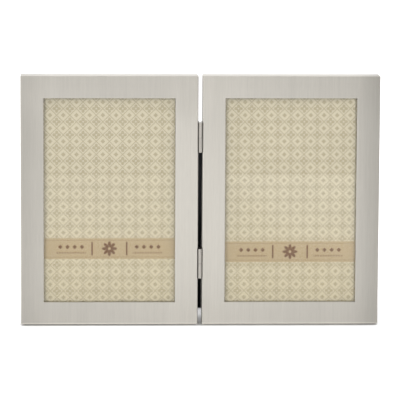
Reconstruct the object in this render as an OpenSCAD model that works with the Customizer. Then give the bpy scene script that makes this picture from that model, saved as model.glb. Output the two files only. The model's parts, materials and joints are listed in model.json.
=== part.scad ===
/* [Print and panels] */
// Width of the print that each panel holds
print_w = 101.6; // [76:0.1:130]
// Height of the print that each panel holds
print_h = 152.4; // [100:0.1:204]
// How far the metal face covers the print at each side
side_overlap = 5.45; // [3:0.05:6.5]
// How far the metal face covers the print at its top and bottom
end_overlap = 5.1; // [3:0.05:6.5]
// Width of the core bars behind the metal face
core_w = 8.95; // [8.8:0.05:18]
// Gap between the two panels when they stand open in one plane
panel_gap = 2.8; // [2.2:0.1:3.6]
// How far the metal rim stands out behind the back board
rear_rim = 2.4; // [2.3:0.1:3.2]
// Angle by which the open frame leans back
lean = 6; // [5:0.5:10]

/* [Metal face] */
// Thickness of the pressed sheet
sheet_t = 0.5; // [0.4:0.1:1]
// Depth of the lip turned back round each window
lip_d = 1.8; // [1.4:0.1:3]
// Inside radius of the bend along the front edges
front_bend_r = 0.2; // [0.2:0.1:1]
// Inside radius of the bend at the four outer corners
corner_bend_r = 0.1; // [0.1:0.1:1]

/* [Glazing and backing] */
// Thickness of the glass
glass_t = 2; // [1.6:0.1:3]
// Thickness of the printed sheet
print_t = 0.3; // [0.2:0.05:0.6]
// Thickness of the filler card behind the print
card_t = 2.8; // [1.5:0.1:6]
// Thickness of the back board
board_t = 3.2; // [2:0.1:5]
// Chamfer on the front outer edge of the core bars
core_chamfer = 0.7; // [0.5:0.1:1.5]
// Corner radius of the filler card and the back board
board_corner_r = 1.5; // [0.5:0.5:4]

/* [Turn buttons] */
// Length of a turn button
button_l = 14; // [12:0.5:18]
// Width of a turn button
button_w = 7; // [6:0.5:8]
// Thickness of a turn button
button_t = 1; // [0.6:0.1:1.1]
// Distance between the two turn buttons on one rail
button_spread = 56; // [30:1:64]
// Shank diameter of a turn button's screw
button_screw_d = 2; // [1.6:0.1:2.6]
// Head diameter of a turn button's screw
button_head_d = 5; // [4:0.1:6]
// Head height of a turn button's screw
button_head_h = 1; // [0.8:0.1:1.2]
// Length of a turn button's screw under its head
button_screw_l = 7; // [5:0.5:9]

/* [Hinges] */
// Outside diameter of the hinge barrels
barrel_d = 2.6; // [2.4:0.1:3.4]
// Length of a hinge barrel, its two knuckles together
barrel_l = 20.6; // [18:0.2:30]
// Gap between the two knuckles of a hinge
knuckle_gap = 0.3; // [0.1:0.05:0.5]
// Diameter of the hinge pins
pin_d = 1.4; // [1:0.1:1.6]
// Distance between the middles of the two hinges
hinge_spread = 88; // [60:0.2:110]
// How far the hinge axis stands in front of the faces
axis_front = 0.4; // [0.2:0.1:0.8]
// Depth of a hinge leaf behind its barrel
leaf_w = 8; // [6:0.2:9.5]
// Distance between the two open leaves of a hinge
leaf_gap = 0.4; // [0.3:0.1:0.8]
// Distance between the two screws of a leaf
leaf_screw_pitch = 13; // [10:0.5:14]
// Shank diameter of the countersunk screws
flat_screw_d = 1.5; // [1.2:0.1:1.8]
// Head diameter of the countersunk screws
flat_head_d = 2.9; // [2.6:0.1:3.2]
// Length of the countersunk screws
flat_screw_l = 7; // [5:0.5:8]

/* [Easel leg] */
// Angle between the open leg and the back of the panels
leg_open = 13.5; // [11:0.5:16]
// Height of the leg's pivot, as a share of the panel's height
pivot_height_share = 0.76; // [0.7:0.002:0.8]
// Thickness of the leg
leg_t = 3; // [2.5:0.1:5]
// Width of the leg at its top
leg_top_w = 22; // [20:1:26]
// Width of the leg at its foot
leg_foot_w = 36; // [28:1:48]
// Chamfer at the two top corners of the leg
leg_top_chamfer = 4; // [2:0.5:6]
// Thickness of the plate that hangs the leg
leg_plate_t = 0.9; // [0.7:0.1:1.1]
// Length of that plate below the pivot
leg_plate_l = 27; // [22:1:36]
// Thickness of the strap that carries the pivot
strap_t = 1; // [0.8:0.1:1.1]
// Outside diameter of the pivot's knuckles
knuckle_d = 3.4; // [3.2:0.1:3.8]
// Diameter of the pivot's pin
easel_pin_d = 1.6; // [1.2:0.1:1.8]
// Width of the middle knuckle
middle_knuckle_w = 3.4; // [3:0.2:4.4]
// Width of each outer knuckle
outer_knuckle_w = 2.4; // [2:0.2:3]
// Distance between the two screws of the strap
strap_screw_pitch = 6.5; // [5:0.5:9]
// Shank diameter of the rivets
rivet_d = 2.2; // [1.8:0.1:2.8]
// Head diameter of the rivets
rivet_head_d = 4.4; // [3.8:0.1:5]
// Head height of the rivets
rivet_head_h = 0.7; // [0.5:0.1:1]
// Distance between the two rivets
rivet_pitch = 12; // [9:0.5:16]

/* [Fits] */
// Space all round the print inside the core
print_fit = 0.95; // [0.6:0.05:1.5]
// Space all round the glass and the boards inside the core
board_fit = 0.25; // [0.1:0.05:0.5]
// Space between the core and the metal rim
core_fit = 0.1; // [0.05:0.05:0.2]
// Radial space round a pin or a screw in its hole
pin_fit = 0.05; // [0.03:0.01:0.08]
// Space between faces that slide on each other
slide_fit = 0.1; // [0.08:0.01:0.15]
// Space between a barrel and the notch it turns in
notch_fit = 0.5; // [0.3:0.05:0.7]
// Space between the strap and the metal rim beside it
strap_side_fit = 0.3; // [0.2:0.05:0.5]
// Space behind the rim for the stowed leg
leg_stow_fit = 0.3; // [0.2:0.1:1]

/* [Hidden] */
$fn = 64;

// Sides of the frame as the viewer sees them
left = -1;
right = 1;
// Sides of one panel, counted in quarter turns from the bottom
bottom_side = 0;
hinge_side = 1;
top_side = 2;
outer_side = 3;

// Overrun of every cut past the faces that it opens
over = 0.5;
// Height of a screw head's upright edge, and radius of its flat crown, as shares
head_edge_share = 0.45;
head_crown_share = 0.7;
// Length of a screw's point, as a share of its diameter
point_share = 0.9;
// Size and depth of the cross in a screw head, as shares of its diameter
cross_length_share = 0.56;
cross_width_share = 0.14;
cross_depth_share = 0.12;
// Radius of a rivet head's flat crown, as a share of its radius
rivet_crown_share = 0.55;

// The panels
win_w = print_w - 2 * side_overlap;
win_h = print_h - 2 * end_overlap;
frame_w = print_fit + core_w + core_fit + sheet_t;
rail_w = end_overlap + frame_w;
panel_w = print_w + 2 * frame_w;
panel_h = print_h + 2 * frame_w;
back_y = lip_d + glass_t + print_t + card_t + board_t;
panel_d = back_y + rear_rim;
panel_x = panel_gap / 2 + panel_w / 2;
front_r = sheet_t + front_bend_r;
corner_r = sheet_t + corner_bend_r;

// The core, a mitred ring inside the metal rim
open_w = print_w + 2 * print_fit;
open_h = print_h + 2 * print_fit;
core_mid = sheet_t + core_fit + core_w / 2;
board_w = open_w - 2 * board_fit;
board_h = open_h - 2 * board_fit;

// The turn buttons
button_screw_r = button_screw_d / 2;
button_end_r = button_w / 2;
button_y = back_y + slide_fit;
button_head_y = button_y + button_t + slide_fit;

// The hinges
barrel_r = barrel_d / 2;
pin_r = pin_d / 2;
notch_r = barrel_r + notch_fit;
notch_l = barrel_l + 2 * notch_fit;
leaf_t = (panel_gap - leaf_gap) / 2;
leaf_front_y = barrel_r + slide_fit - axis_front;
leaf_screw_y = leaf_front_y + leaf_w / 2;
knuckle_l = (barrel_l - knuckle_gap) / 2;
flat_screw_r = flat_screw_d / 2;
flat_head_r = flat_head_d / 2;
upper_hinge_z = (panel_h + hinge_spread) / 2;
lower_hinge_z = (panel_h - hinge_spread) / 2;

// The easel leg
knuckle_r = knuckle_d / 2;
easel_pin_r = easel_pin_d / 2;
strap_w = middle_knuckle_w + 2 * outer_knuckle_w + 2 * slide_fit;
strap_x = panel_gap / 2 + sheet_t + strap_side_fit + strap_w / 2;
pivot_off = max(knuckle_r + slide_fit, rear_rim + leg_stow_fit - knuckle_r);
pivot_y = back_y + pivot_off;
pivot_z = pivot_height_share * panel_h;
knuckle_slot = knuckle_r + 2 * slide_fit;
plate_front = knuckle_r - leg_plate_t;
heel_h = (plate_front * cos(leg_open) + pivot_off - strap_t - slide_fit) / sin(leg_open);
strap_low_screw = heel_h + flat_head_r + strap_t;
strap_top = strap_low_screw + strap_screw_pitch + flat_head_r + strap_t;
leg_top_drop = knuckle_r + leg_plate_t + slide_fit;
upper_rivet_drop = leg_top_drop + rivet_head_d;
rivet_r = rivet_d / 2;
rivet_head_r = rivet_head_d / 2;
leg_rear = knuckle_r + leg_t;

// The stance: the frame stands on its rear bottom edge and on the leg's foot
splay = leg_open - lean;
lift = panel_d * sin(lean);
pivot_stand_y = pivot_y * cos(lean) + pivot_z * sin(lean);
pivot_stand_z = lift - pivot_y * sin(lean) + pivot_z * cos(lean);
leg_l = (pivot_stand_z + leg_rear * sin(splay)) / cos(splay);
foot_back_y = pivot_stand_y + leg_rear * cos(splay) + leg_l * sin(splay);
top_back_y = panel_d * cos(lean) + panel_h * sin(lean);
front_y = front_r * (cos(lean) + sin(lean)) - front_r;
shift_y = -(front_y + max(foot_back_y, top_back_y)) / 2;
reach = panel_w + panel_h;

// Leans a piece back and sets it on the table, centred front to back
module placed() {
    translate([0, shift_y, lift]) rotate([-lean, 0, 0]) children();
}

// Turns a piece made for the right panel into the left one's
module on_side(side) {
    if (side == left) mirror([1, 0, 0]) children();
    else children();
}

// Places a piece drawn about the middle of a panel's bottom edge
module in_panel(side) {
    placed() on_side(side) translate([panel_x, 0, 0]) children();
}

// Places a piece drawn about the middle of one panel's window
module in_window(side) {
    in_panel(side) translate([0, 0, panel_h / 2]) children();
}

// Places a piece drawn about the easel's pivot, as fixed to the panel
module at_pivot() {
    placed() translate([strap_x, pivot_y, pivot_z]) children();
}

// Places a piece drawn about the easel's pivot, as swung out with the leg
module on_leg() {
    at_pivot() rotate([leg_open, 0, 0]) children();
}

// Upright outline with four rounded corners, standing on its bottom edge
module rounded_outline(w, h, r) {
    translate([r - w / 2, 0]) square([w - 2 * r, h]);
    translate([-w / 2, r]) square([w, h - 2 * r]);
    for (x = [r - w / 2, w / 2 - r], z = [r, h - r]) translate([x, z]) circle(r);
}

// Section of a panel with its two front corners rounded
module front_outline(w, d, r) {
    translate([r - w / 2, 0]) square([w - 2 * r, d]);
    translate([-w / 2, r]) square([w, d - r]);
    for (x = [r - w / 2, w / 2 - r]) translate([x, r]) circle(r);
}

// Block with rounded front edges and rounded outer corners
module pressed_block(w, h, d, outline_r, edge_r) {
    intersection() {
        translate([0, d, 0]) rotate([90, 0, 0]) linear_extrude(d) rounded_outline(w, h, outline_r);
        linear_extrude(h) front_outline(w, d, edge_r);
        translate([-w / 2, 0, h / 2]) rotate([90, 0, 90]) linear_extrude(w)
            rotate(-90) front_outline(h, d, edge_r);
    }
}

// One mitred side of a ring round an opening. The child outline runs outwards
// from the opening's edge, and back from the front of the panel.
module ring_side(turn, w, h, side_w, d) {
    along = turn % 2 == 0 ? w : h;
    across = turn % 2 == 0 ? h : w;
    rotate([0, 90 * turn, 0]) translate([0, 0, -across / 2]) rotate([-90, 0, 0]) intersection() {
        translate([-along / 2 - side_w, 0, 0]) rotate([90, 0, 90])
            linear_extrude(along + 2 * side_w) children();
        translate([0, 0, -over]) linear_extrude(d + 2 * over) polygon([
            [over - along / 2, -over], [along / 2 - over, -over],
            [along / 2 + side_w, side_w], [-along / 2 - side_w, side_w]
        ]);
    }
}

// Flat plate standing in the window's plane, from depth y backwards
module window_plate(w, h, y, t, r) {
    translate([0, y + t, -h / 2]) rotate([90, 0, 0]) linear_extrude(t) rounded_outline(w, h, r);
}

// Pan-head screw along its axis, with the head above the seat
module pan_screw(r, head_r, head_h, l) {
    difference() {
        rotate_extrude() polygon([
            [0, -l], [r, 2 * r * point_share - l], [r, 0], [head_r, 0],
            [head_r, head_h * head_edge_share], [head_r * head_crown_share, head_h], [0, head_h]
        ]);
        screw_cross(head_r, head_h);
    }
}

// Countersunk screw along its axis, with the head flush at its top
module flat_screw(r, head_r, l) {
    difference() {
        rotate_extrude() polygon([
            [0, -l], [r, 2 * r * point_share - l], [r, r - head_r], [head_r, 0], [0, 0]
        ]);
        screw_cross(head_r, 0);
    }
}

// Cross sunk into a screw head whose top lies at the given height
module screw_cross(head_r, top) {
    length = 2 * head_r * cross_length_share;
    width = 2 * head_r * cross_width_share;
    depth = 2 * head_r * cross_depth_share;
    for (turn = [0, 90]) rotate(turn) translate([-length / 2, -width / 2, top - depth])
        cube([length, width, depth + over]);
}

// Places of the hinge screws beside a panel, drawn along the screw's axis
module at_leaf_screws(z) {
    for (shift = [-leaf_screw_pitch / 2, leaf_screw_pitch / 2])
        translate([leaf_gap / 2, leaf_screw_y, z + shift]) rotate([0, -90, 0]) children();
}

// Places of the turn buttons' screws, drawn along the screw's axis
module at_button_screws() {
    for (x = [-button_spread / 2, button_spread / 2], z = [core_mid, panel_h - core_mid])
        translate([x, button_head_y, z]) rotate([-90, 0, 0]) children();
}

// Places of the strap's screws about the pivot, drawn along the screw's axis
module at_strap_screws() {
    for (z = [strap_low_screw, strap_low_screw + strap_screw_pitch])
        translate([0, strap_t - pivot_off, z]) rotate([-90, 0, 0]) children();
}

// Places of the rivets on the leg, drawn along the rivet's axis
module at_rivets() {
    for (drop = [upper_rivet_drop, upper_rivet_drop + rivet_pitch])
        translate([0, plate_front, -drop]) rotate([-90, 0, 0]) children();
}

// Hole for a countersunk screw, along the screw's axis
module flat_screw_hole() {
    translate([0, 0, -flat_screw_l - over]) cylinder(r = flat_screw_r + pin_fit, h = flat_screw_l + 2 * over);
    rotate_extrude() polygon([
        [0, flat_screw_r - flat_head_r - pin_fit], [flat_screw_r, flat_screw_r - flat_head_r - pin_fit],
        [flat_head_r + pin_fit, 0], [flat_head_r + pin_fit, over], [0, over]
    ]);
}

// Pressed metal face of one panel: front, turned-back window lip and rim in one sheet
module face_shell(side) {
    color("silver") difference() {
        in_panel(side) difference() {
            union() {
                difference() {
                    pressed_block(panel_w, panel_h, panel_d, corner_r, front_r);
                    translate([0, sheet_t, sheet_t]) pressed_block(
                        panel_w - 2 * sheet_t, panel_h - 2 * sheet_t, panel_d,
                        corner_bend_r, front_bend_r);
                }
                translate([-win_w / 2 - sheet_t, sheet_t / 2, rail_w - sheet_t])
                    cube([win_w + 2 * sheet_t, lip_d - sheet_t / 2, win_h + 2 * sheet_t]);
            }
            translate([-win_w / 2, -over, rail_w]) cube([win_w, lip_d + 2 * over, win_h]);
            translate([0, 0, panel_h / 2]) for (turn = [bottom_side : outer_side])
                ring_side(turn, win_w, win_h, sheet_t, sheet_t) window_edge_outline();
        }
        placed() on_side(side) hinge_cuts();
    }
}

// What the bend round a window takes off the square edge of the sheet
module window_edge_outline() {
    difference() {
        translate([-over, -over]) square([sheet_t + over, sheet_t + over]);
        translate([sheet_t, sheet_t]) circle(sheet_t);
    }
}

// Notches for the barrels and holes for the hinge screws in the rim
module hinge_cuts() {
    for (z = [lower_hinge_z, upper_hinge_z]) {
        translate([0, -axis_front, z - notch_l / 2]) cylinder(r = notch_r, h = notch_l);
        at_leaf_screws(z) flat_screw_hole();
    }
}

// One mitred bar of the core behind the metal face
module core_bar(side, turn) {
    in_window(side) ring_side(turn, open_w, open_h, core_w, back_y) polygon([
        [0, sheet_t], [core_w - core_chamfer, sheet_t], [core_w, sheet_t + core_chamfer],
        [core_w, back_y], [0, back_y]
    ]);
}

module core_rail(side, turn) {
    color("dimgray") difference() {
        core_bar(side, turn);
        in_panel(side) at_button_screws() translate([0, 0, -button_screw_l])
            cylinder(r = button_screw_r + pin_fit, h = button_screw_l + over);
    }
}

module core_hinge_stile(side) {
    color("dimgray") difference() {
        core_bar(side, hinge_side);
        placed() on_side(side) hinge_cuts();
        if (side == right) at_pivot() at_strap_screws() flat_screw_hole();
    }
}

module core_outer_stile(side) {
    color("dimgray") core_bar(side, outer_side);
}

module glass(side) {
    color("lightcyan") in_window(side) window_plate(board_w, board_h, lip_d, glass_t, sheet_t / 2);
}

module photo_insert(side) {
    color("wheat") in_window(side)
        window_plate(print_w, print_h, lip_d + glass_t, print_t, print_t);
}

module filler_card(side) {
    color("tan") in_window(side)
        window_plate(board_w, board_h, lip_d + glass_t + print_t, card_t, board_corner_r);
}

module back_board(side) {
    color("black") in_window(side)
        window_plate(board_w, board_h, back_y - board_t, board_t, board_corner_r);
}

// Turn button on its screw, pointing over the back board
module turn_button(side, spread_sign, rail) {
    z = rail == top_side ? panel_h - core_mid : core_mid;
    color("gainsboro") in_panel(side) translate([spread_sign * button_spread / 2, button_y, z])
        rotate([0, rail == top_side ? 180 : 0, 0]) rotate([-90, 180, 0]) linear_extrude(button_t)
            difference() {
                union() {
                    circle(button_end_r);
                    translate([-button_end_r, 0]) square([button_w, button_l - button_w]);
                    translate([0, button_l - button_w]) circle(button_end_r);
                }
                circle(button_screw_r + pin_fit);
            }
}

module button_screws(side) {
    color("gray") in_panel(side) at_button_screws()
        pan_screw(button_screw_r, button_head_d / 2, button_head_h, button_screw_l);
}

// One leaf of a barrel hinge, with its knuckle in the upper or the lower half
module hinge_leaf(side, z, knuckle_foot) {
    color("lightgray") placed() on_side(side) difference() {
        union() {
            translate([leaf_gap / 2, leaf_front_y, z - barrel_l / 2]) cube([leaf_t, leaf_w, barrel_l]);
            translate([leaf_gap / 2, -axis_front, z + knuckle_foot])
                cube([leaf_t, axis_front + leaf_front_y + leaf_t, knuckle_l]);
            translate([0, -axis_front, z + knuckle_foot]) cylinder(r = barrel_r, h = knuckle_l);
        }
        translate([0, -axis_front, z + knuckle_foot - over])
            cylinder(r = pin_r + pin_fit, h = knuckle_l + 2 * over);
        at_leaf_screws(z) flat_screw_hole();
    }
}

module hinge_pin(z) {
    color("gray") placed() translate([0, -axis_front, z - barrel_l / 2]) cylinder(r = pin_r, h = barrel_l);
}

module hinge_screws(side) {
    color("gray") placed() on_side(side) for (z = [lower_hinge_z, upper_hinge_z])
        at_leaf_screws(z) flat_screw(flat_screw_r, flat_head_r, flat_screw_l);
}

// Strap screwed to the right panel's hinge stile, with the pivot's middle knuckle
module easel_strap() {
    color("lightgray") at_pivot() difference() {
        union() {
            translate([-strap_w / 2, -pivot_off, knuckle_slot])
                cube([strap_w, strap_t, strap_top - knuckle_slot]);
            translate([-middle_knuckle_w / 2, -pivot_off, 0])
                cube([middle_knuckle_w, pivot_off - knuckle_r + strap_t, knuckle_slot + strap_t]);
            translate([-middle_knuckle_w / 2, 0, 0]) rotate([0, 90, 0])
                cylinder(r = knuckle_r, h = middle_knuckle_w);
        }
        easel_pin_hole();
        at_strap_screws() flat_screw_hole();
    }
}

module easel_pin_hole() {
    translate([-strap_w / 2 - over, 0, 0]) rotate([0, 90, 0])
        cylinder(r = easel_pin_r + pin_fit, h = strap_w + 2 * over);
}

module easel_strap_screws() {
    color("gray") at_pivot() at_strap_screws() flat_screw(flat_screw_r, flat_head_r, flat_screw_l);
}

module easel_pin() {
    color("gray") at_pivot() translate([-strap_w / 2, 0, 0]) rotate([0, 90, 0])
        cylinder(r = easel_pin_r, h = strap_w);
}

// Plate riveted to the leg: two outer knuckles, and a heel that stops on the strap
module easel_leg_plate() {
    color("lightgray") on_leg() difference() {
        union() {
            translate([-strap_w / 2, plate_front, -leg_plate_l])
                cube([strap_w, leg_plate_t, leg_plate_l + heel_h]);
            for (x = [-strap_w / 2, strap_w / 2 - outer_knuckle_w]) translate([x, 0, 0])
                rotate([0, 90, 0]) cylinder(r = knuckle_r, h = outer_knuckle_w);
        }
        translate([-middle_knuckle_w / 2 - slide_fit, -knuckle_slot, -knuckle_slot])
            cube([middle_knuckle_w + 2 * slide_fit, 2 * knuckle_slot, 2 * knuckle_slot]);
        easel_pin_hole();
        at_rivets() rivet_hole();
    }
}

module rivet_hole() {
    translate([0, 0, -over]) cylinder(r = rivet_r + pin_fit, h = leg_plate_t + leg_t + 2 * over);
}

// Leg board, wider at the foot, cut level where it meets the table
module easel_leg() {
    color("black") difference() {
        on_leg() difference() {
            translate([0, leg_rear, 0]) rotate([90, 0, 0]) linear_extrude(leg_t) leg_outline();
            at_rivets() rivet_hole();
        }
        translate([-reach, -reach, -reach]) cube([2 * reach, 2 * reach, reach]);
    }
}

module leg_outline() {
    polygon([
        [leg_top_chamfer - leg_top_w / 2, -leg_top_drop],
        [leg_top_w / 2 - leg_top_chamfer, -leg_top_drop],
        [leg_top_w / 2, -leg_top_drop - leg_top_chamfer],
        [leg_foot_w / 2, -leg_l],
        [-leg_foot_w / 2, -leg_l],
        [-leg_top_w / 2, -leg_top_drop - leg_top_chamfer]
    ]);
}

// Rivets through the plate and the leg, headed on both sides
module easel_rivets() {
    grip = leg_plate_t + leg_t;
    color("gray") on_leg() at_rivets() rotate_extrude() polygon([
        [0, -rivet_head_h], [rivet_head_r * rivet_crown_share, -rivet_head_h], [rivet_head_r, 0],
        [rivet_r, 0], [rivet_r, grip], [rivet_head_r, grip],
        [rivet_head_r * rivet_crown_share, grip + rivet_head_h], [0, grip + rivet_head_h]
    ]);
}

face_shell(right);  // right_face_shell
core_rail(right, top_side);  // right_core_top_rail
core_rail(right, bottom_side);  // right_core_bottom_rail
core_hinge_stile(right);  // right_core_hinge_stile
core_outer_stile(right);  // right_core_outer_stile
glass(right);  // right_glass
photo_insert(right);  // right_photo_insert
filler_card(right);  // right_filler_card
back_board(right);  // right_back_board
turn_button(right, left, top_side);  // right_turn_button_1
turn_button(right, right, top_side);  // right_turn_button_2
turn_button(right, left, bottom_side);  // right_turn_button_3
turn_button(right, right, bottom_side);  // right_turn_button_4
button_screws(right);  // right_button_screws
face_shell(left);  // left_face_shell
core_rail(left, top_side);  // left_core_top_rail
core_rail(left, bottom_side);  // left_core_bottom_rail
core_hinge_stile(left);  // left_core_hinge_stile
core_outer_stile(left);  // left_core_outer_stile
glass(left);  // left_glass
photo_insert(left);  // left_photo_insert
filler_card(left);  // left_filler_card
back_board(left);  // left_back_board
turn_button(left, left, top_side);  // left_turn_button_1
turn_button(left, right, top_side);  // left_turn_button_2
turn_button(left, left, bottom_side);  // left_turn_button_3
turn_button(left, right, bottom_side);  // left_turn_button_4
button_screws(left);  // left_button_screws
hinge_leaf(right, upper_hinge_z, -barrel_l / 2);  // upper_hinge_right_leaf
hinge_leaf(left, upper_hinge_z, knuckle_gap / 2);  // upper_hinge_left_leaf
hinge_pin(upper_hinge_z);  // upper_hinge_pin
hinge_leaf(right, lower_hinge_z, -barrel_l / 2);  // lower_hinge_right_leaf
hinge_leaf(left, lower_hinge_z, knuckle_gap / 2);  // lower_hinge_left_leaf
hinge_pin(lower_hinge_z);  // lower_hinge_pin
hinge_screws(right);  // right_hinge_screws
hinge_screws(left);  // left_hinge_screws
easel_strap();
easel_strap_screws();
easel_pin();
easel_leg_plate();
easel_leg();
easel_rivets();
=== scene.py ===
import json
import math

import bpy
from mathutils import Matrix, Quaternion, Vector


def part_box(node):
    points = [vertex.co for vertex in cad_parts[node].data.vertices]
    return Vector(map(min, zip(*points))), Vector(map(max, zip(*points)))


MM = 0.001
X = Vector((1, 0, 0))
Y = Vector((0, 1, 0))
Z = Vector((0, 0, 1))
ORIGIN = Vector((0, 0, 0))

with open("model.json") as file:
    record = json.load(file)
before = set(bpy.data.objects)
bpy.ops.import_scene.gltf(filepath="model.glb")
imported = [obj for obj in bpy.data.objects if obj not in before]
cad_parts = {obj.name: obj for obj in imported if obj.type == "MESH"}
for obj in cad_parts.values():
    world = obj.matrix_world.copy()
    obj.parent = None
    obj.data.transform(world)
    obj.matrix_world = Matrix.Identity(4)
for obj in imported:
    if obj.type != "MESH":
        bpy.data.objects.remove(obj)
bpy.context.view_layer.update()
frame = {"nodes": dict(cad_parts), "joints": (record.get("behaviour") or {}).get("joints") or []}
nodes = frame["nodes"]
hinge = next(joint for joint in frame["joints"] if joint["name"] == "panel_hinge")

# The panels' own directions, and the middle of the right panel's print
UP = Vector(hinge["axis"]).normalized()
BACK = UP.cross(X)
print_low, print_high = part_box("right_photo_insert")
PRINT_MIDDLE = (print_low + print_high) / 2

# Half the size of a window in the metal face
WINDOW_HALF_W = 45.35 * MM
WINDOW_HALF_H = 71.1 * MM
# Half the gap between the panels, and half the whole width
GAP_HALF = 1.4 * MM
WHOLE_HALF = 124.0 * MM
# The lower front edge of the panels
PANEL_FOOT = Vector((0, -23.84, 1.31)) * MM

# Brushed face: colour, and how far streaks of three widths vary its brightness
FACE_COLOUR = (193, 189, 181)
FINE_VARIATION = 0.09
MIDDLING_VARIATION = 0.07
BROAD_VARIATION = 0.05
# Its roughness, smoothest and roughest, and what the side towards the gap adds
FACE_SMOOTH, FACE_ROUGH = 0.3, 0.42
GAP_ROUGHNESS = 0.5
BRUSHING = 0.3
BRUSHING_TURN = 0.25
# Where it turns in at a window, a painted shade: how wide, how dark, and how dark on the
# left window's right side, which lies at DARK_SIDE
BEND = 0.15 * MM
BEND_SHADE = 0.9
DARK_BEND_SHADE = 0.3
DARK_SIDE = -GAP_HALF - 15.5 * MM
DARK_NEAR, DARK_FAR = 1.0 * MM, 2.5 * MM
# Where it turns back at the gap: how wide, how deep, and the painted shade in front and further in
GAP_BEND = 0.25 * MM
GAP_FRONT, GAP_INNER = 0.6 * MM, 1.4 * MM
GAP_FRONT_SHADE, GAP_INNER_SHADE = 0.3, 0.85
# Painted shade on the outer stiles, the right one more so, and at the foot: how far each shades off, and to
# what
RIM_W, RIGHT_RIM_W = 20 * MM, 24 * MM
RIM_SHADE = 0.88
FOOT_H, FOOT_SHADE = 40 * MM, 0.965
# The lowest bend, with a painted highlight for the light it catches from the table
LOW_BEND, LOW_BEND_TOP = 0.7 * MM, 1.2 * MM
LOW_BEND_HIGHLIGHT = 1.3

# Printed paper: the colours of ground, figures, band and marks
PAPER_COLOUR = (209, 198, 174)
FIGURE_COLOUR = (177, 163, 133)
BAND_COLOUR = (184, 162, 126)
MARK_COLOUR = (112, 68, 6)
FIGURE_SHARE = 0.85
PRINT_EDGE = 0.35 * MM
# The trellis, and the flowers and buds in it
PITCH = 9.1 * MM
TRELLIS_LINE = 0.5 * MM
BUD = 3.0 * MM
BLOSSOM = 3.1 * MM
BLOSSOM_PETALS = 4
# The band with its badge, and the middle of the band on each panel
BAND_H = 14.4 * MM
BAND_EDGE = 0.1 * MM
BADGE = 5.4 * MM
BADGE_PETALS = 8
BAND_MIDDLES = {"right": -36.3 * MM, "left": -34.0 * MM}
# The upright bars beside the badge, and the thin rules along the band
BAR_AT, BAR_W, BAR_H = 12 * MM, 0.7 * MM, 9 * MM
RULE_AT, RULE_W, RULE_EDGE, RULE_SHARE = 5.9 * MM, 0.3 * MM, 0.2 * MM, 0.3
# The row of beads, and the row of dots below it
ROW_START, ROW_END, ROW_EDGE = 16 * MM, 37 * MM, 0.5 * MM
BEAD_START, BEAD_PITCH, BEAD, BEAD_RAISE = 19 * MM, 5.0 * MM, 2.8 * MM, 1.2 * MM
DOT_PITCH, DOT, DOT_DROP, DOT_SHARE = 1.8 * MM, 0.8 * MM, 2.9 * MM, 0.6
# Painted shade: the print turns warmer and darker from one height to another, below its middle
WARM_START, WARM_END = 45 * MM, -65 * MM
WARM_TINT = (0.945, 0.92, 0.845, 1.0)
# Its painted shade from the window's lips, by the foot of both windows and the right side of the right one
PRINT_SIDE_START = PRINT_MIDDLE.x + 43.8 * MM
PRINT_SIDE_FULL = PRINT_MIDDLE.x + 45.2 * MM
PRINT_FOOT_START, PRINT_FOOT_FULL = -70.2 * MM, -71.4 * MM
CORNER_SHADE = 0.75

# Flock, painted board and filler card; how far the card's specks cover it
FLOCK_COLOUR = (0.012, 0.012, 0.013, 1.0)
BOARD_COLOUR = (0.022, 0.022, 0.024, 1.0)
CARD_COLOUR = (158, 147, 130)
SPECK_COLOUR = (94, 84, 72)
SPECK_SHARE = 0.5

# The easel leg: painted light that turns its front grey above a height, and how much lighter than the flock
PAINTED_LIGHT_ABOVE = 80 * MM
PAINTED_LIGHT_START, PAINTED_LIGHT_FULL = PAINTED_LIGHT_ABOVE - 40 * MM, PAINTED_LIGHT_ABOVE + 20 * MM
PAINTED_LIGHT_GAIN = 12.0

# Hinge leaves: the half width beyond which a painted shade darkens them, and how dark
LEAF_SHADE_START, LEAF_SHADE_END = 0.85 * MM, 1.25 * MM
LEAF_SHADE = 0.4

# The glass stays this far clear of the print
GLASS_CLEARANCE = 0.02 * MM
# How far the edges of turn buttons, steel fittings and the leg are rounded
BUTTON_EDGE = 0.15 * MM
FITTING_EDGE = 0.12 * MM
LEG_EDGE = 0.4 * MM

# The photograph's view
CAMERA_AZIMUTH = math.radians(-2.267)
CAMERA_ELEVATION = math.radians(14.475)
CAMERA_ROLL = math.radians(0.52)
CAMERA_AIM = Vector((0.45, 0, 84.22)) * MM
CAMERA_DISTANCE = 2267.8 * MM
LENS = 293.25
SENSOR = 36
FAR_CLIP = 50

# The room that metal mirrors, 1 being white: in front from left to right, and behind
FRONT_LEFT, FRONT_RIGHT, BEHIND = 0.78, 0.21, 1.0
LEFTWARD, RIGHTWARD = -0.3, 0.5
FORWARD, BACKWARD = -0.6, 0.1
# The room's light on other surfaces
ROOM_LIGHT = 0.34

# The table top: its size and colour, and its glow in the shade, in the open and far off
TABLE = 6.0
TABLE_COLOUR = (0.95, 0.95, 0.95, 1.0)
SHADE_GLOW, OPEN_GLOW, FAR_GLOW = 0.08, 0.5, 0.3
# Its painted shade near the frame, from how enclosed the table is: how far that reaches, and the open share
# where it starts and ends
SHADE_REACH = 25 * MM
SHADE_SAMPLES = 16
SHADED, OPEN = 0.4, 0.59
# A painted shadow of the leg, fixed on the table: half its width, and from where to where across the table
LEG_SHADE_HALF, LEG_SHADE_EDGE = 15 * MM, 30 * MM
LEG_SHADE_FRONT = (-12 * MM, -20 * MM)
LEG_SHADE_BACK = (-9 * MM, 9 * MM)
# Where the far part starts, beside the frame, and over what distance it comes in
BESIDE = 123 * MM
FAR_REACH = 50 * MM

LAMPS_AIM = (0, 0, 0.09)


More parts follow.
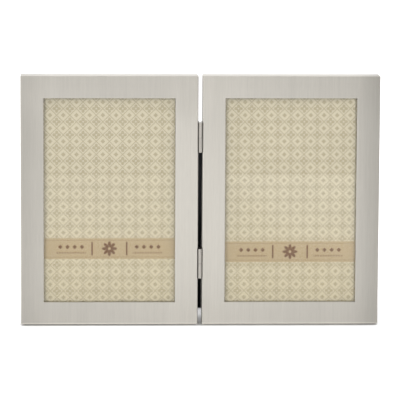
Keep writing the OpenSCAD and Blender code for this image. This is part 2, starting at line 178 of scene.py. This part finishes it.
class Look:
    """A material: one Principled shader, and short calls for the nodes that feed it."""

    def __init__(self, name, roughness, metallic=0.0, specular=0.5):
        self.material = bpy.data.materials.new(name)
        self.material.use_nodes = True
        self.tree = self.material.node_tree
        self.shader = self.tree.nodes["Principled BSDF"]
        self.set("Roughness", roughness)
        self.set("Metallic", metallic)
        self.set("Specular IOR Level", specular)

    def set(self, socket, value):
        self.feed(self.shader.inputs[socket], value)

    def feed(self, socket, value):
        if isinstance(value, bpy.types.NodeSocket):
            self.tree.links.new(value, socket)
        else:
            socket.default_value = value

    def math(self, operation, *values):
        node = self.tree.nodes.new("ShaderNodeMath")
        node.operation = operation
        for socket, value in zip(node.inputs, values):
            self.feed(socket, value)
        return node.outputs[0]

    def add(self, first, second):
        return self.math("ADD", first, second)

    def subtract(self, first, second):
        return self.math("SUBTRACT", first, second)

    def size(self, value):
        """A value without its sign."""
        return self.math("ABSOLUTE", value)

    def wrap(self, value, pitch):
        """A value brought within half a pitch of 0, so that what it draws repeats."""
        return self.math("WRAP", value, pitch / 2, -pitch / 2)

    def largest(self, *values):
        total = values[0]
        for value in values[1:]:
            total = self.math("MAXIMUM", total, value)
        return total

    def product(self, *values):
        total = values[0]
        for value in values[1:]:
            total = self.math("MULTIPLY", total, value)
        return total

    def vector(self, operation, *values):
        node = self.tree.nodes.new("ShaderNodeVectorMath")
        node.operation = operation
        for socket, value in zip(node.inputs, values):
            self.feed(socket, value)
        return node.outputs["Value" if operation == "DOT_PRODUCT" else "Vector"]

    def step(self, value, low, high):
        """0 below low and 1 above high, smooth between; falls if low is the larger."""
        node = self.tree.nodes.new("ShaderNodeMapRange")
        node.interpolation_type = "SMOOTHSTEP"
        turned = low > high
        ends = (high, low, 1.0, 0.0) if turned else (low, high, 0.0, 1.0)
        for socket, end in zip(node.inputs, (value, *ends)):
            self.feed(socket, end)
        return node.outputs["Result"]

    def spread(self, value, low, high):
        """A value between 0 and 1, stretched to run from low to high."""
        node = self.tree.nodes.new("ShaderNodeMapRange")
        for socket, end in zip(node.inputs, (value, 0.0, 1.0, low, high)):
            self.feed(socket, end)
        return node.outputs["Result"]

    def vary(self, value, amount):
        """A value between 0 and 1, turned into one that strays from 0 by so much."""
        return self.spread(value, -amount, amount)

    def vary_one(self, value, amount):
        """The same, straying from 1."""
        return self.spread(value, 1 - amount, 1 + amount)

    def mix(self, share, first, second, blend="MIX"):
        node = self.tree.nodes.new("ShaderNodeMix")
        node.data_type = "RGBA"
        node.blend_type = blend
        share_socket, first_socket, second_socket = node.inputs[0], node.inputs[6], node.inputs[7]
        self.feed(share_socket, share)
        self.feed(first_socket, first)
        self.feed(second_socket, second)
        return node.outputs[2]

    def place(self):
        """Where a point lies on the object at rest, in metres."""
        return self.tree.nodes.new("ShaderNodeTexCoord").outputs["Object"]

    def facing(self, direction):
        """How squarely a surface faces a direction, on the object at rest."""
        normal = self.tree.nodes.new("ShaderNodeTexCoord").outputs["Normal"]
        return self.vector("DOT_PRODUCT", normal, direction)

    def along(self, direction, start=ORIGIN):
        """How far a point lies from start, along a direction."""
        return self.vector("DOT_PRODUCT", self.vector("SUBTRACT", self.place(), start), direction)

    def noise(self, scale, detail=2.0, rough=0.5, where=None):
        node = self.tree.nodes.new("ShaderNodeTexNoise")
        self.feed(node.inputs["Vector"], where or self.place())
        self.feed(node.inputs["Scale"], scale)
        self.feed(node.inputs["Detail"], detail)
        self.feed(node.inputs["Roughness"], rough)
        return node.outputs[0]

    def bump(self, height, depth, strength):
        node = self.tree.nodes.new("ShaderNodeBump")
        self.feed(node.inputs["Height"], height)
        self.feed(node.inputs["Distance"], depth)
        self.feed(node.inputs["Strength"], strength)
        self.set("Normal", node.outputs[0])

    def tone(self, colour, brightness):
        """A colour made brighter or darker by a number that may vary over the surface."""
        grey = self.tree.nodes.new("ShaderNodeCombineXYZ")
        for socket in grey.inputs:
            self.feed(socket, brightness)
        self.set("Base Color", self.mix(1.0, colour, grey.outputs[0], "MULTIPLY"))

    def streaks(self, across, length, detail=2.0):
        """Noise drawn out along the panels' height: so many streaks a metre across."""
        upright = self.math("MULTIPLY", self.along(UP), 1 / length)
        sideways = self.math("MULTIPLY", self.along(X), across)
        inward = self.math("MULTIPLY", self.along(BACK), across)
        where = self.tree.nodes.new("ShaderNodeCombineXYZ")
        for socket, value in zip(where.inputs, (sideways, inward, upright)):
            self.feed(socket, value)
        return self.noise(1.0, detail, where=where.outputs[0])

    def line(self, distance, width, edge=PRINT_EDGE):
        """1 within half a width of where distance is 0."""
        return self.step(self.size(distance), width / 2 + edge, width / 2)

    def flower(self, across, upright, radius, petals):
        """1 on a flower with so many petals, seen from above, and 0 off it."""
        notch_share, eye_share, eye_edge_share = 0.5, 0.14, 0.22
        squares = self.add(self.product(across, across), self.product(upright, upright))
        away = self.math("SQRT", squares)
        angle = self.math("ARCTAN2", upright, across)
        petal = self.size(self.math("COSINE", self.product(angle, petals / 2)))
        outline = self.product(self.spread(petal, notch_share, 1.0), radius)
        inside = self.step(self.subtract(outline, away), 0.0, PRINT_EDGE)
        return self.product(inside, self.step(away, radius * eye_share, radius * eye_edge_share))


def srgb(red, green, blue):
    """The colour that a screen shows for these three numbers, as the shader wants it."""
    def linear(level):
        share = level / 255
        return share / 12.92 if share <= 0.04045 else ((share + 0.055) / 1.055) ** 2.4
    return (linear(red), linear(green), linear(blue), 1.0)


def face_shade(look):
    """Painted shade at a window's bend, in the gap, at the rims and at the foot, and a painted highlight on
    the lowest bend.
    """
    sideways = look.along(X)
    from_middle = look.size(sideways)
    across = look.size(look.subtract(from_middle, PRINT_MIDDLE.x))
    upright = look.size(look.along(UP, PRINT_MIDDLE))
    outside = look.largest(
        look.subtract(across, WINDOW_HALF_W),
        look.subtract(upright, WINDOW_HALF_H),
    )
    dark = look.step(look.size(look.subtract(sideways, DARK_SIDE)), DARK_FAR, DARK_NEAR)
    bend_shade = look.spread(dark, BEND_SHADE, DARK_BEND_SHADE)
    bend = look.spread(look.step(outside, 0.0, BEND), bend_shade, 1.0)
    inner = look.step(look.along(BACK, PANEL_FOOT), GAP_FRONT, GAP_INNER)
    gap_shade = look.spread(inner, GAP_FRONT_SHADE, GAP_INNER_SHADE)
    in_gap = look.spread(look.step(from_middle, GAP_HALF, GAP_HALF + GAP_BEND), gap_shade, 1.0)
    rims = look.spread(look.step(from_middle, WHOLE_HALF - RIM_W, WHOLE_HALF), 1.0, RIM_SHADE)
    right_rim = look.spread(look.step(sideways, WHOLE_HALF - RIGHT_RIM_W, WHOLE_HALF), 1.0, RIM_SHADE)
    height = look.along(UP, PANEL_FOOT)
    low_bend = look.spread(look.step(height, LOW_BEND_TOP, LOW_BEND), 1.0, LOW_BEND_HIGHLIGHT)
    foot = look.spread(look.step(height, 0.0, FOOT_H), FOOT_SHADE, 1.0)
    return look.product(bend, in_gap, rims, right_rim, low_bend, foot), in_gap


def brushed_face():
    """Satin plated sheet, brushed upright."""
    look = Look("brushed_face", roughness=(FACE_SMOOTH + FACE_ROUGH) / 2, metallic=1.0)
    fine = look.streaks(across=5200, length=9 * MM)
    middling = look.streaks(across=1100, length=40 * MM)
    broad = look.streaks(across=130, length=260 * MM, detail=1.0)
    tone = look.add(look.vary_one(fine, FINE_VARIATION), look.vary(middling, MIDDLING_VARIATION))
    tone = look.add(tone, look.vary(broad, BROAD_VARIATION))
    shade, in_gap = face_shade(look)
    # the colour carries face_shade's painted shade and painted highlight
    look.tone(srgb(*FACE_COLOUR), look.product(tone, shade))
    roughness = look.spread(middling, FACE_SMOOTH, FACE_ROUGH)
    look.set("Roughness", look.add(roughness, look.spread(in_gap, GAP_ROUGHNESS, 0.0)))
    look.set("Anisotropic", BRUSHING)
    look.set("Anisotropic Rotation", BRUSHING_TURN)
    look.bump(fine, depth=0.012 * MM, strength=0.35)
    return look.material


def trellis(look, across, upright):
    """1 on the lines of the trellis and on the flowers and buds between them."""
    column = look.wrap(across, PITCH)
    row = look.wrap(upright, PITCH)
    reach = look.add(look.size(column), look.size(row))
    lines = look.line(look.subtract(reach, PITCH / 2), TRELLIS_LINE)
    between = look.size(look.wrap(look.add(across, PITCH / 2), PITCH))
    below = look.size(look.wrap(look.add(upright, PITCH / 2), PITCH))
    bud = look.line(look.add(between, below), BUD)
    return look.largest(lines, bud, look.flower(column, row, BLOSSOM, BLOSSOM_PETALS))


def band_marks(look, across, height):
    """1 on the band's badge, bars and beads, and less on its dots and rules."""
    outward = look.size(across)
    badge = look.flower(across, height, BADGE, BADGE_PETALS)
    bars = look.product(look.line(look.subtract(outward, BAR_AT), BAR_W), look.line(height, BAR_H))
    in_row = look.product(
        look.step(outward, ROW_START, ROW_START + ROW_EDGE),
        look.step(outward, ROW_END, ROW_END - ROW_EDGE),
    )
    from_bead = look.size(look.wrap(look.subtract(outward, BEAD_START), BEAD_PITCH))
    raised = look.size(look.subtract(height, BEAD_RAISE))
    beads = look.product(look.line(look.add(from_bead, raised), BEAD), in_row)
    from_dot = look.size(look.wrap(outward, DOT_PITCH))
    lowered = look.size(look.add(height, DOT_DROP))
    dots = look.product(look.line(look.largest(from_dot, lowered), DOT), in_row, DOT_SHARE)
    rules = look.line(look.subtract(look.size(height), RULE_AT), RULE_W, RULE_EDGE)
    return look.largest(badge, bars, beads, dots, look.product(rules, RULE_SHARE))


def printed_paper(name, band_middle):
    """The printed insert: a fine tan trellis with flowers on cream, and a tan band."""
    look = Look(name, roughness=0.62, specular=0.35)
    sideways = look.along(X)
    panel_middle = look.product(look.math("SIGN", sideways), PRINT_MIDDLE.x)
    across = look.subtract(sideways, panel_middle)
    upright = look.along(UP, PRINT_MIDDLE)
    height = look.subtract(upright, band_middle)

    figure = look.product(trellis(look, across, upright), FIGURE_SHARE)
    ground = look.mix(figure, srgb(*PAPER_COLOUR), srgb(*FIGURE_COLOUR))
    strip = look.mix(band_marks(look, across, height), srgb(*BAND_COLOUR), srgb(*MARK_COLOUR))
    colour = look.mix(look.line(height, BAND_H, BAND_EDGE), ground, strip)
    # painted shade: warmer and darker below the print's middle
    warm = look.mix(1.0, colour, WARM_TINT, "MULTIPLY")
    colour = look.mix(look.step(upright, WARM_START, WARM_END), colour, warm)

    fibres = look.noise(scale=1500, detail=3.0)
    clouds = look.noise(scale=55, detail=2.0)
    tone = look.add(look.vary_one(fibres, amount=0.08), look.vary(clouds, amount=0.05))
    # painted shade where the window's lips shade the print
    corner = look.largest(
        look.step(sideways, PRINT_SIDE_START, PRINT_SIDE_FULL),
        look.step(upright, PRINT_FOOT_START, PRINT_FOOT_FULL),
    )
    look.tone(colour, look.product(tone, look.spread(corner, 1.0, CORNER_SHADE)))
    look.bump(fibres, depth=0.01 * MM, strength=0.3)
    return look.material


def clear_glass():
    """Picture glass, which lets lamps shine through to the print."""
    look = Look("clear_glass", roughness=0.0)
    look.set("Transmission Weight", 1.0)
    look.set("IOR", 1.45)
    look.set("Base Color", (0.975, 0.99, 0.982, 1.0))
    tree = look.tree
    path = tree.nodes.new("ShaderNodeLightPath")
    open_glass = tree.nodes.new("ShaderNodeBsdfTransparent")
    either = tree.nodes.new("ShaderNodeMixShader")
    output = tree.nodes["Material Output"]
    tree.links.new(path.outputs["Is Shadow Ray"], either.inputs[0])
    tree.links.new(look.shader.outputs[0], either.inputs[1])
    tree.links.new(open_glass.outputs[0], either.inputs[2])
    tree.links.new(either.outputs[0], output.inputs["Surface"])
    return look.material


def black_velvet(painted_light=False):
    """Black flocked paper with a soft nap; with painted_light, painted light turns it grey in front and high
    up.
    """
    look = Look("black_velvet", roughness=0.95, specular=0.15)
    nap = look.noise(scale=2600, detail=3.0, rough=0.7)
    brushed = look.noise(scale=45, detail=3.0)
    tone = look.add(look.vary_one(nap, amount=0.4), look.vary(brushed, amount=0.3))
    # painted light: the front face, high up, made lighter where light falls through the gap between the
    # panels
    if painted_light:
        inner = look.step(look.facing(-Y), low=0.6, high=0.8)
        high = look.step(look.along(Z), PAINTED_LIGHT_START, PAINTED_LIGHT_FULL)
        tone = look.product(tone, look.spread(look.product(inner, high), 1.0, PAINTED_LIGHT_GAIN))
    look.tone(FLOCK_COLOUR, tone)
    look.set("Sheen Weight", 0.25)
    look.set("Sheen Roughness", 0.45)
    look.bump(nap, depth=0.05 * MM, strength=0.5)
    return look.material


def painted_board():
    """Fibreboard in matt black paint, with the board's grain just showing."""
    look = Look("painted_board", roughness=0.6, specular=0.4)
    grain = look.noise(scale=900, detail=4.0, rough=0.65)
    patches = look.noise(scale=60, detail=2.0)
    tone = look.add(look.vary_one(grain, amount=0.25), look.vary(patches, amount=0.15))
    look.tone(BOARD_COLOUR, tone)
    look.set("Roughness", look.spread(grain, low=0.5, high=0.72))
    look.bump(grain, depth=0.04 * MM, strength=0.6)
    return look.material


def grey_card():
    """Filler card of pressed waste paper, with specks and fibres."""
    look = Look("grey_card", roughness=0.85, specular=0.25)
    fibres = look.noise(scale=2200, detail=4.0, rough=0.7)
    specks = look.step(look.noise(scale=1300, detail=1.0), low=0.66, high=0.72)
    colour = look.mix(look.product(specks, SPECK_SHARE), srgb(*CARD_COLOUR), srgb(*SPECK_COLOUR))
    look.tone(colour, look.vary_one(fibres, amount=0.15))
    look.bump(fibres, depth=0.03 * MM, strength=0.5)
    return look.material


def plated_steel(name, colour, roughness, scratches, in_gap=False):
    """Plated steel with a fine satin finish; in_gap paints shade on what lies between the panels."""
    look = Look(name, roughness=roughness, metallic=1.0)
    fine = look.noise(scale=scratches, detail=3.0, rough=0.6)
    patches = look.noise(scale=160, detail=3.0)
    tone = look.add(look.vary_one(fine, amount=0.1), look.spread(patches, low=-0.08, high=0.04))
    if in_gap:
        # painted shade on the leaves between the panels
        aside = look.step(look.size(look.along(X)), LEAF_SHADE_END, LEAF_SHADE_START)
        tone = look.product(tone, look.spread(aside, LEAF_SHADE, 1.0))
    look.tone(srgb(*colour), tone)
    smoothest, roughest = roughness - 0.07, roughness + 0.08
    look.set("Roughness", look.spread(patches, smoothest, roughest))
    look.bump(fine, depth=0.01 * MM, strength=0.4)
    return look.material


def dress(name, material):
    for slot in nodes[name].material_slots:
        slot.material = material


def soften(name, width):
    """Rounds a node's hard edges a little, as cutting and wrapping leave them."""
    bevel = nodes[name].modifiers.new("edges", "BEVEL")
    bevel.width = width
    bevel.segments = 2
    bevel.limit_method = "ANGLE"
    bevel.angle_limit = math.radians(40)


def shrink(name, clearance):
    """Draws a node in a little on all sides."""
    displace = nodes[name].modifiers.new("clear of the print", "DISPLACE")
    displace.mid_level = 0.0
    displace.strength = -clearance


def dress_panels():
    face = brushed_face()
    glass = clear_glass()
    velvet = black_velvet()
    board = painted_board()
    card = grey_card()
    buttons = plated_steel("button_steel", (205, 203, 197), roughness=0.3, scratches=3200)
    screws = plated_steel("screw_steel", (178, 175, 168), roughness=0.28, scratches=5200)
    for side, band_middle in BAND_MIDDLES.items():
        dress(side + "_face_shell", face)
        dress(side + "_glass", glass)
        dress(side + "_photo_insert", printed_paper(side + "_printed_paper", band_middle))
        dress(side + "_filler_card", card)
        dress(side + "_back_board", velvet)
        for bar in ("top_rail", "bottom_rail", "hinge_stile", "outer_stile"):
            dress(side + "_core_" + bar, board)
        for number in (1, 2, 3, 4):
            dress(side + "_turn_button_%d" % number, buttons)
            soften(side + "_turn_button_%d" % number, BUTTON_EDGE)
        dress(side + "_button_screws", screws)
        dress(side + "_hinge_screws", screws)
        shrink(side + "_glass", GLASS_CLEARANCE)


def dress_hinges():
    leaves = plated_steel("hinge_steel", (178, 174, 167), roughness=0.32, scratches=4200, in_gap=True)
    pins = plated_steel("pin_steel", (170, 167, 160), roughness=0.25, scratches=5200)
    for place in ("upper", "lower"):
        for side in ("right", "left"):
            dress("%s_hinge_%s_leaf" % (place, side), leaves)
        dress(place + "_hinge_pin", pins)


def dress_easel():
    steel = plated_steel("easel_steel", (186, 184, 178), roughness=0.34, scratches=3600)
    screws = plated_steel("rivet_steel", (176, 173, 166), roughness=0.3, scratches=5200)
    for name in ("easel_strap", "easel_leg_plate"):
        dress(name, steel)
        soften(name, FITTING_EDGE)
    for name in ("easel_strap_screws", "easel_pin", "easel_rivets"):
        dress(name, screws)
    dress("easel_leg", black_velvet(painted_light=True))
    soften("easel_leg", LEG_EDGE)


def camera():
    """The photograph's view: from a little left and above, through a long lens."""
    towards = Vector((
        math.sin(CAMERA_AZIMUTH) * math.cos(CAMERA_ELEVATION),
        -math.cos(CAMERA_AZIMUTH) * math.cos(CAMERA_ELEVATION),
        math.sin(CAMERA_ELEVATION),
    ))
    data = bpy.data.cameras.new("camera")
    data.sensor_width = SENSOR
    data.lens = LENS
    data.clip_end = FAR_CLIP
    seen = bpy.data.objects.new("camera", data)
    bpy.context.scene.collection.objects.link(seen)
    seen.location = CAMERA_AIM + towards * CAMERA_DISTANCE
    seen.rotation_mode = "QUATERNION"
    seen.rotation_quaternion = towards.to_track_quat("Z", "Y") @ Quaternion(Z, CAMERA_ROLL)
    bpy.context.scene.camera = seen


def largest_of(tree, *sockets):
    total = sockets[0]
    for socket in sockets[1:]:
        most = tree.nodes.new("ShaderNodeMath")
        most.operation = "MAXIMUM"
        tree.links.new(total, most.inputs[0])
        tree.links.new(socket, most.inputs[1])
        total = most.outputs[0]
    return total


def seen_straight(tree):
    """1 for rays that a viewer sees by: straight, or by way of metal or glass."""
    path = tree.nodes.new("ShaderNodeLightPath").outputs
    return largest_of(tree, path["Is Camera Ray"], path["Is Glossy Ray"], path["Is Transmission Ray"])


def surroundings():
    """White for the eye, softly grey for the surfaces, and darker in front for metal."""
    world = bpy.data.worlds.new("studio")
    world.use_nodes = True
    bpy.context.scene.world = world
    tree = world.node_tree
    background = tree.nodes["Background"]
    path = tree.nodes.new("ShaderNodeLightPath").outputs

    def feed(socket, value):
        if isinstance(value, bpy.types.NodeSocket):
            tree.links.new(value, socket)
        else:
            socket.default_value = value

    def ramp(value, low, high, first, last):
        node = tree.nodes.new("ShaderNodeMapRange")
        for socket, end in zip(node.inputs, (value, low, high, first, last)):
            feed(socket, end)
        return node.outputs[0]

    def choose(share, first, second):
        node = tree.nodes.new("ShaderNodeMix")
        share_socket, first_socket, second_socket = node.inputs[0], node.inputs[2], node.inputs[3]
        feed(share_socket, share)
        feed(first_socket, first)
        feed(second_socket, second)
        return node.outputs[0]

    parts = tree.nodes.new("ShaderNodeSeparateXYZ")
    tree.links.new(tree.nodes.new("ShaderNodeTexCoord").outputs["Generated"], parts.inputs[0])
    in_front = ramp(parts.outputs["X"], LEFTWARD, RIGHTWARD, FRONT_LEFT, FRONT_RIGHT)
    mirrored = ramp(parts.outputs["Y"], FORWARD, BACKWARD, in_front, BEHIND)
    by_metal = choose(path["Is Glossy Ray"], ROOM_LIGHT, mirrored)
    straight = largest_of(tree, path["Is Camera Ray"], path["Is Transmission Ray"])
    tree.links.new(choose(straight, by_metal, 1.0), background.inputs["Color"])
    background.inputs["Strength"].default_value = 1.0


def floor():
    """A white table top: white to the eye in the open, and shaded close to the frame, partly by real shadow
    and partly by painted shade in its glow, with a painted shadow of the leg.
    """
    bpy.ops.mesh.primitive_plane_add(size=TABLE, location=(0, 0, 0))
    top = bpy.context.object
    top.name = "table_top"
    look = Look("table_top", roughness=0.9, specular=0.0)
    look.set("Base Color", TABLE_COLOUR)
    look.set("Emission Color", (1.0, 1.0, 1.0, 1.0))

    aside = look.size(look.along(X))
    behind = look.along(Y)
    sky = look.tree.nodes.new("ShaderNodeAmbientOcclusion")
    sky.samples = SHADE_SAMPLES
    look.feed(sky.inputs["Distance"], SHADE_REACH)
    # painted shade: the glow drops where the table is enclosed and in the leg's painted shadow
    open_air = look.product(
        look.step(sky.outputs["AO"], SHADED, OPEN),
        look.largest(
            look.step(aside, LEG_SHADE_HALF, LEG_SHADE_EDGE),
            look.step(behind, *LEG_SHADE_BACK),
            look.step(behind, *LEG_SHADE_FRONT),
        ),
    )
    far = look.step(look.largest(look.subtract(aside, BESIDE), behind), 0.0, FAR_REACH)
    glow = look.add(look.spread(open_air, SHADE_GLOW, OPEN_GLOW), look.product(far, FAR_GLOW))
    look.set("Emission Strength", look.product(seen_straight(look.tree), glow))
    top.data.materials.append(look.material)


def lamp(name, place, size, power, aim=LAMPS_AIM):
    data = bpy.data.lights.new(name, "AREA")
    data.shape = "RECTANGLE"
    data.size, data.size_y = size
    data.energy = power
    light = bpy.data.objects.new(name, data)
    bpy.context.scene.collection.objects.link(light)
    light.location = place
    light.visible_camera = False
    direction = Vector(aim) - Vector(place)
    light.rotation_euler = direction.to_track_quat("-Z", "Y").to_euler()


def lamps():
    lamp("key", place=(-1.4, -1.9, 1.25), size=(1.4, 1.4), power=15.5)
    lamp("fill", place=(1.3, -1.6, 1.4), size=(1.4, 1.4), power=8)
    lamp("top", place=(0, 0, 2.2), size=(2.6, 2.6), power=14)
    lamp("rear", place=(0, 1.5, 1.0), size=(1.6, 1.0), power=3.5)
    lamp("front strip", place=(0.0245, -0.635, 0.075), size=(0.03, 0.14), power=0.08, aim=(0, -0.015, 0.0876))


dress_panels()
dress_hinges()
dress_easel()
camera()
surroundings()
floor()
lamps()

bpy.context.scene.view_settings.view_transform = "Standard"
